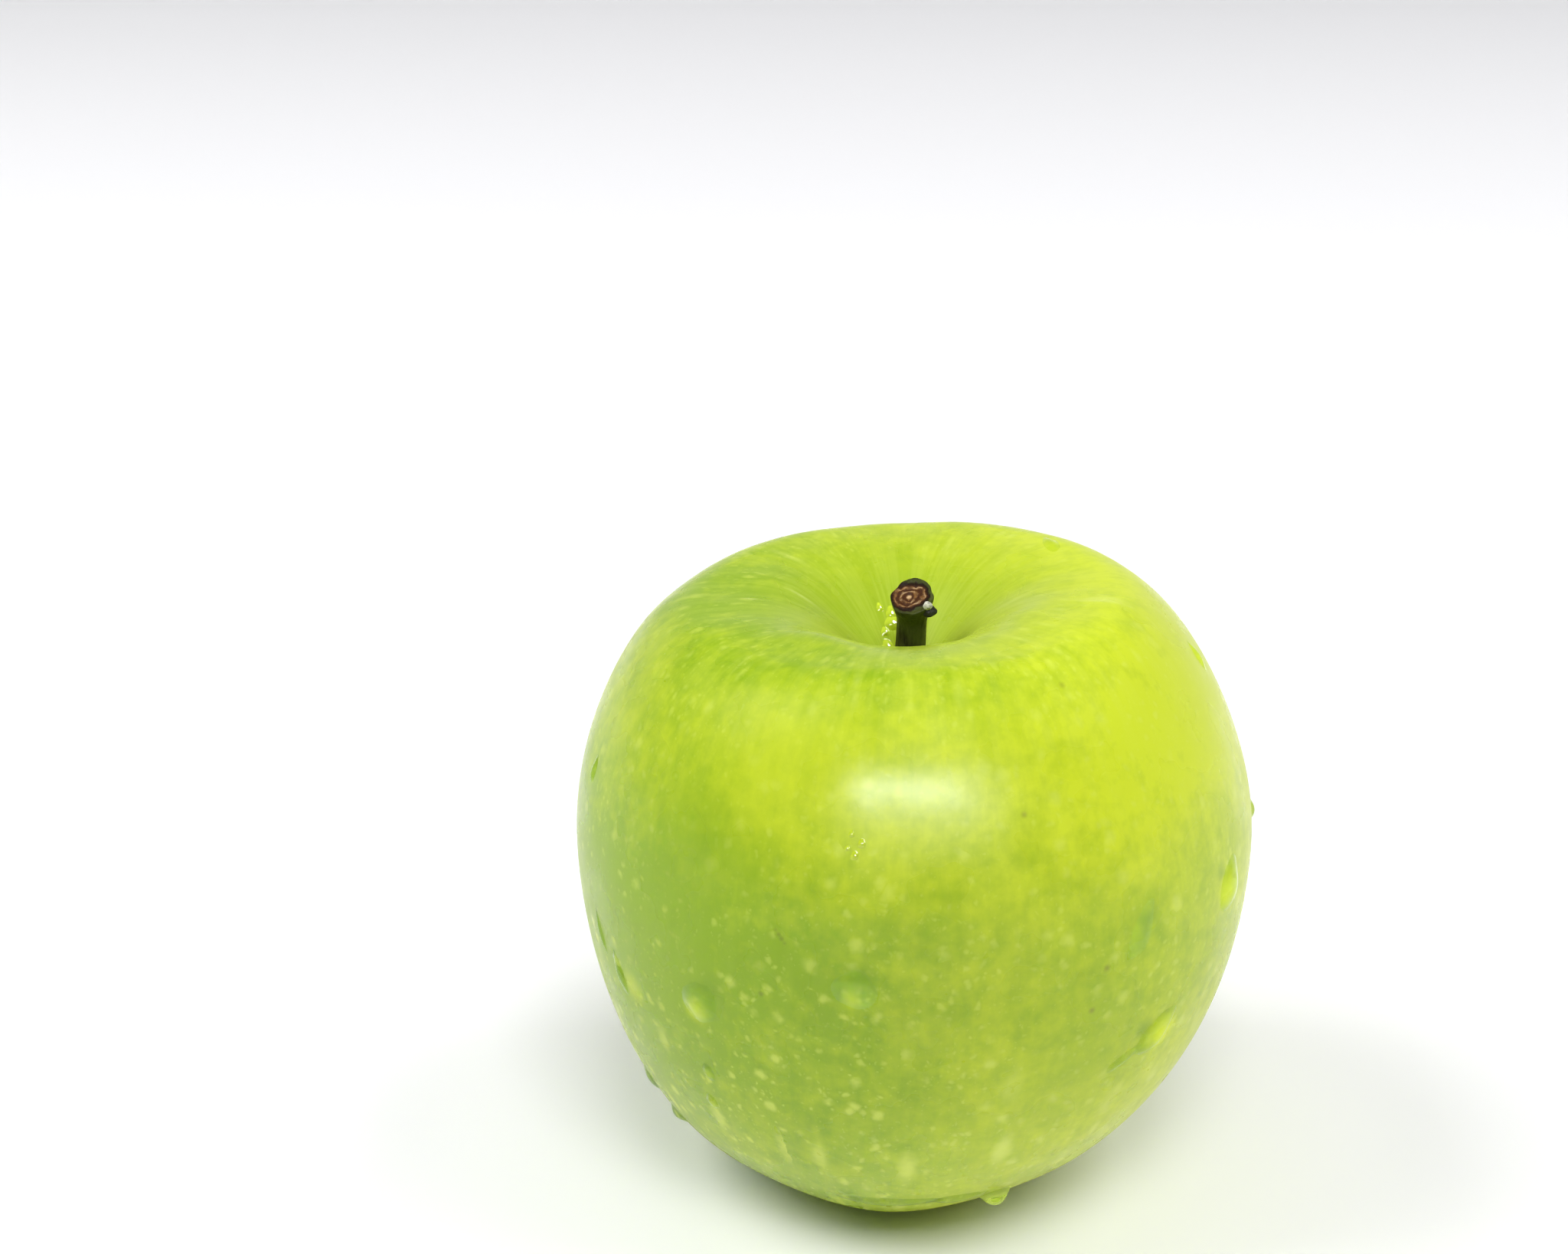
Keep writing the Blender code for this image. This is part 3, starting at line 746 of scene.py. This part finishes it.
tube_mesh = bmesh.new()
tube_place = Matrix.Translation((BASIN_CENTRE.x, BASIN_CENTRE.y, (PLUG_TOP + PLUG_BOTTOM) / 2))
bmesh.ops.create_cone(tube_mesh, cap_ends=True, segments=64, radius1=PLUG_RADIUS,
                      radius2=PLUG_RADIUS, depth=PLUG_TOP - PLUG_BOTTOM, matrix=tube_place)
for stub_number in range(STUB_COUNT):
    stub_bearing = 2 * math.pi * stub_number / STUB_COUNT + 0.3
    stub_out = Vector((math.cos(stub_bearing), math.sin(stub_bearing), 0))
    stub_ring = STUB_RING * (0.7 + 0.4 * math.sin(1.7 * stub_number) ** 2)
    stub_top = Vector((BASIN_CENTRE.x, BASIN_CENTRE.y, PLUG_BOTTOM + STUB_LENGTH / 3))
    stub_lean = math.radians(STUB_LEAN + STUB_LEAN_CHANGE * math.sin(3.1 * stub_number))
    stub_place = Matrix.Translation(stub_top + stub_ring * stub_out)
    stub_place @= Matrix.Rotation(stub_lean, 4, (stub_out.y, -stub_out.x, 0))
    stub_place @= Matrix.Translation((0, 0, -STUB_LENGTH / 2))
    bmesh.ops.create_cone(tube_mesh, cap_ends=True, segments=12, radius1=STUB_RADIUS * 1.5,
                          radius2=STUB_RADIUS, depth=STUB_LENGTH, matrix=stub_place)
calyx_tube = add_piece("calyx_tube", tube_mesh, dry)
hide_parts("calyx")


# The water: rinsing left drops that cling to the skin and a thin film run down to the foot.
# Each is a lens that follows the skin below it and hangs a little downhill.
# Name, middle, half length downhill, half width, thickness, and lean in degrees off downhill.
DROPS = (
    ("drop_right", (0.0331, -0.0184, 0.0427), 0.0031, 0.0026, 0.00062, 8),
    ("drop_lower_right", (0.0246, -0.0272, 0.0297), 0.0034, 0.0020, 0.00075, 40),
    ("trail_lower_right", (0.0212, -0.0295, 0.0277), 0.0024, 0.0008, 0.00022, 62),
    ("trail_right", (0.0221, -0.0309, 0.0439), 0.0034, 0.0013, 0.00012, 24),
    ("drop_left", (-0.0235, -0.0291, 0.0345), 0.0027, 0.0024, 0.00062, 28),
    ("drop_front", (-0.0075, -0.0372, 0.0406), 0.0022, 0.0023, 0.00055, 15),
    ("drop_streak_high", (-0.0348, -0.0143, 0.0346), 0.0026, 0.0007, 0.00022, -25),
    ("drop_streak_low", (-0.0326, -0.0180, 0.0316), 0.0026, 0.0011, 0.00028, -20),
    ("drop_small_left", (-0.0355, -0.0089, 0.0516), 0.0017, 0.0008, 0.00027, 0),
    ("drop_shoulder", (0.0303, -0.0037, 0.0629), 0.0020, 0.0009, 0.00030, 0),
    ("drop_crown", (0.0157, 0.0129, 0.0695), 0.0009, 0.0022, 0.00030, 0),
    ("drop_rim", (0.0374, -0.0035, 0.0442), 0.0013, 0.0010, 0.00040, 0),
    ("drop_low_left", (-0.0229, -0.0271, 0.0245), 0.0013, 0.0008, 0.00024, 0),
    ("drop_foot_left", (-0.0226, -0.0252, 0.0197), 0.0012, 0.0008, 0.00024, 0),
    ("drop_hanging", (0.0087, -0.0232, 0.0062), 0.0017, 0.0019, 0.00135, 0),
    ("film_foot_left", (-0.0034, -0.0268, 0.0078), 0.0014, 0.0060, 0.00030, 0),
    ("film_foot_right", (0.0042, -0.0262, 0.0080), 0.0012, 0.0036, 0.00040, 0),
    ("film_flank_high", (-0.0300, -0.0118, 0.0142), 0.0020, 0.0015, 0.00040, 0),
    ("film_flank_low", (-0.0270, -0.0130, 0.0102), 0.0014, 0.0017, 0.00054, 0),
    ("bead_cavity_1", (-0.0027, 0.0067, 0.0636), 0.0009, 0.0006, 0.00030, 0),
    ("bead_cavity_2", (-0.0026, 0.0058, 0.0628), 0.0010, 0.0009, 0.00040, 0),
    ("bead_cavity_3", (-0.0034, 0.0049, 0.0620), 0.0006, 0.0005, 0.00026, 0),
    ("bead_cavity_4", (-0.0031, 0.0036, 0.0609), 0.0009, 0.0007, 0.00034, 0),
    ("bead_cavity_5", (-0.0040, 0.0071, 0.0640), 0.0006, 0.0004, 0.00020, 0),
    ("bead_1", (-0.0080, -0.0337, 0.0564), 0.0004, 0.0003, 0.00011, 0),
    ("bead_2", (-0.0070, -0.0343, 0.0556), 0.0005, 0.0004, 0.00012, 0),
    ("bead_3", (-0.0077, -0.0346, 0.0544), 0.0005, 0.0004, 0.00012, 0),
    ("bead_4", (-0.0084, -0.0341, 0.0550), 0.0003, 0.0003, 0.00009, 0),
)
DROP_RINGS = 14
DROP_SPOKES = 40
WATER_IOR = 1.33
BEAD_GREEN = (0.46, 0.58, 0.020)
BEAD_IOR = 1.6
DROP_UNEVEN = 0.16
DROP_TAPER = 0.22
DROP_SAG = 0.35
DROP_EDGE = 1.3
DROP_SINK = 0.00004


def water_finish():
    """Clear water. Light goes straight on through it, so that the skin below a drop is lit."""
    finish, tree, shader = new_finish("water")
    shader.inputs["Base Color"].default_value = (0.93, 1.0, 0.80, 1)
    shader.inputs["Roughness"].default_value = 0
    shader.inputs["IOR"].default_value = WATER_IOR
    shader.inputs["Transmission Weight"].default_value = 1
    lit_through = put(tree, "BsdfTransparent")
    ray = put(tree, "LightPath")
    mixer = put(tree, "MixShader", {0: ray.outputs["Is Shadow Ray"]})
    tree.links.new(shader.outputs[0], mixer.inputs[1])
    tree.links.new(lit_through.outputs[0], mixer.inputs[2])
    tree.links.new(mixer.outputs[0], tree.nodes["Material Output"].inputs["Surface"])
    return finish


def bead_finish():
    """A bead too small to see into: it has the colour of the skin below and a sharp glint."""
    finish, tree, shader = new_finish("water_bead")
    shader.inputs["Base Color"].default_value = (*BEAD_GREEN, 1)
    shader.inputs["Roughness"].default_value = 0.06
    shader.inputs["IOR"].default_value = BEAD_IOR
    return finish


def drop_mesh(middle, half_length, half_width, thickness, lean):
    """A lens on the skin: its top bulges, and its underside lies just inside the skin."""
    foot, normal, _, _ = skin_surface.find_nearest(Vector(middle))
    down = (Vector((0, 0, -1)) + normal * normal.z).normalized()
    down.rotate(Matrix.Rotation(math.radians(-lean), 4, normal))
    side = normal.cross(down)
    bm = bmesh.new()
    bmesh.ops.create_uvsphere(bm, u_segments=DROP_SPOKES, v_segments=2 * DROP_RINGS, radius=1)
    for vertex in bm.verts:
        x, y, z = vertex.co
        reach = min(1, math.hypot(x, y))
        uneven = 1 + DROP_UNEVEN * noise.noise(Vector((x, y, 900 * half_length)) * 1.3)
        aside = side * (x * half_width * (1 - DROP_TAPER * y))
        flat = foot + (aside - down * (y * half_length)) * uneven
        on_skin, skin_normal, _, _ = skin_surface.find_nearest(flat)
        cap = (1 - reach ** 2) ** DROP_EDGE * (1 - DROP_SAG * y)
        vertex.co = on_skin + skin_normal * (thickness * cap if z > 0 else DROP_SINK * z)
    bm.normal_update()
    return bm


clear_water = water_finish()
bead_water = bead_finish()
beads = bpy.data.collections.new("beads")
for drop_name, drop_middle, drop_length, drop_width, drop_thickness, drop_lean in DROPS:
    lens = drop_mesh(drop_middle, drop_length, drop_width, drop_thickness, drop_lean)
    is_bead = drop_name.startswith("bead")
    drop = add_piece(drop_name, lens, bead_water if is_bead else clear_water)
    if is_bead:
        beads.objects.link(drop)


# The stand: a wide sheet of white paper, which isn't part of the apple.
# Broad lamps hang above it. The window behind the camera only shows as the highlight, and
# the sparkle only in the beads of water.
SHEET_SIZE = 2.6
SHEET_GAP = 0.00002
SHEET_WHITE = (0.93, 0.93, 0.95)
WALL_LIGHT = 0.96
MIRRORED_WALL = 0.65
MIRRORED_CEILING = 0.28
CEILING_START = 0.5
WINDOW_BEARING = math.radians(-91)
WINDOW_CLIMB = math.radians(31)
WINDOW_DISTANCE = 1.5
WINDOW_WAY = Vector((math.cos(WINDOW_BEARING) * math.cos(WINDOW_CLIMB),
                     math.sin(WINDOW_BEARING) * math.cos(WINDOW_CLIMB), math.sin(WINDOW_CLIMB)))
APPLE_MIDDLE = Vector((0, 0, 0.04))
# Name, place, power, width, depth and use of each lamp.
LAMPS = (
    ("overhead_lamp", Vector((0.0, 0.0, 1.5)), 3.2, 0.9, 0.9, "light"),
    ("front_lamp", Vector((0.1, -0.7, 1.2)), 7.9, 0.5, 0.5, "light"),
    ("right_lamp", Vector((1.0, 0.0, 1.1)), 13.8, 1.0, 1.0, "light"),
    ("left_lamp", Vector((-1.0, 0.0, 1.1)), 16.6, 0.9, 0.9, "light"),
    ("window", APPLE_MIDDLE + WINDOW_WAY * WINDOW_DISTANCE, 22.0, 1.24, 0.17, "gloss"),
    ("sparkle", Vector((0.7, -0.3, 1.2)), 110.0, 0.9, 0.9, "sparkle"),
)
CAMERA_PLACE = Vector((-0.01477, -0.2799, 0.1829))
CAMERA_PITCH = math.radians(22.9)
LENS_PIXELS = 3600
FRAME_PIXELS = 2048

sheet_corners = [(x * SHEET_SIZE / 2, y * SHEET_SIZE / 2, -SHEET_GAP)
                 for x, y in ((-1, -1), (1, -1), (1, 1), (-1, 1))]
sheet_mesh = bpy.data.meshes.new("paper_sheet")
sheet_mesh.from_pydata(sheet_corners, [], [(0, 1, 2, 3)])
sheet_finish, sheet_tree, sheet_shader = new_finish("paper_white")
sheet_shader.inputs["Base Color"].default_value = (*SHEET_WHITE, 1)
sheet_shader.inputs["Roughness"].default_value = 0.7
sheet_mesh.materials.append(sheet_finish)
paper_sheet = bpy.data.objects.new("paper_sheet", sheet_mesh)
bpy.context.scene.collection.objects.link(paper_sheet)


for lamp_name, lamp_place, lamp_power, lamp_width, lamp_depth, lamp_use in LAMPS:
    lamp_data = bpy.data.lights.new(lamp_name, "AREA")
    lamp_data.shape = "RECTANGLE"
    lamp_data.size = lamp_width
    lamp_data.size_y = lamp_depth
    lamp_data.energy = lamp_power
    lamp = bpy.data.objects.new(lamp_name, lamp_data)
    lamp.location = lamp_place
    lamp.visible_diffuse = lamp_use == "light"
    lamp.visible_glossy = lamp_use != "light"
    lamp.visible_transmission = False
    if lamp_use == "sparkle":
        lamp.light_linking.receiver_collection = beads
    toward_apple = APPLE_MIDDLE - lamp_place
    lamp.rotation_euler = toward_apple.to_track_quat("-Z", "Y").to_euler()
    bpy.context.scene.collection.objects.link(lamp)

# The room is white. In the skin and the water it mirrors dimmer, and dimmest from above.
room = bpy.data.worlds.new("room")
room.use_nodes = True
room_tree = room.node_tree
room_way = put(room_tree, "TexCoord").outputs["Generated"]
room_height = put(room_tree, "SeparateXYZ", {0: room_way}).outputs[2]
mirrored = spread(room_tree, room_height, 0.0, CEILING_START, MIRRORED_WALL, MIRRORED_CEILING)
camera_ray = put(room_tree, "LightPath").outputs["Is Camera Ray"]
room_light = maths(room_tree, "MAXIMUM", mirrored, maths(room_tree, "MULTIPLY", camera_ray, WALL_LIGHT))
room_shader = room_tree.nodes["Background"]
room_shader.inputs["Color"].default_value = (1, 1, 1, 1)
room_tree.links.new(room_light, room_shader.inputs["Strength"])
room.cycles_visibility.diffuse = False
room.cycles_visibility.transmission = False
bpy.context.scene.world = room
bpy.context.scene.view_settings.view_transform = "Standard"

camera_data = bpy.data.cameras.new("camera")
camera_data.sensor_fit = "HORIZONTAL"
camera_data.lens = LENS_PIXELS / FRAME_PIXELS * camera_data.sensor_width
camera_data.clip_start = 0.01
camera = bpy.data.objects.new("camera", camera_data)
camera.location = CAMERA_PLACE
camera.rotation_euler = (math.pi / 2 - CAMERA_PITCH, 0, 0)
bpy.context.scene.collection.objects.link(camera)
bpy.context.scene.camera = camera
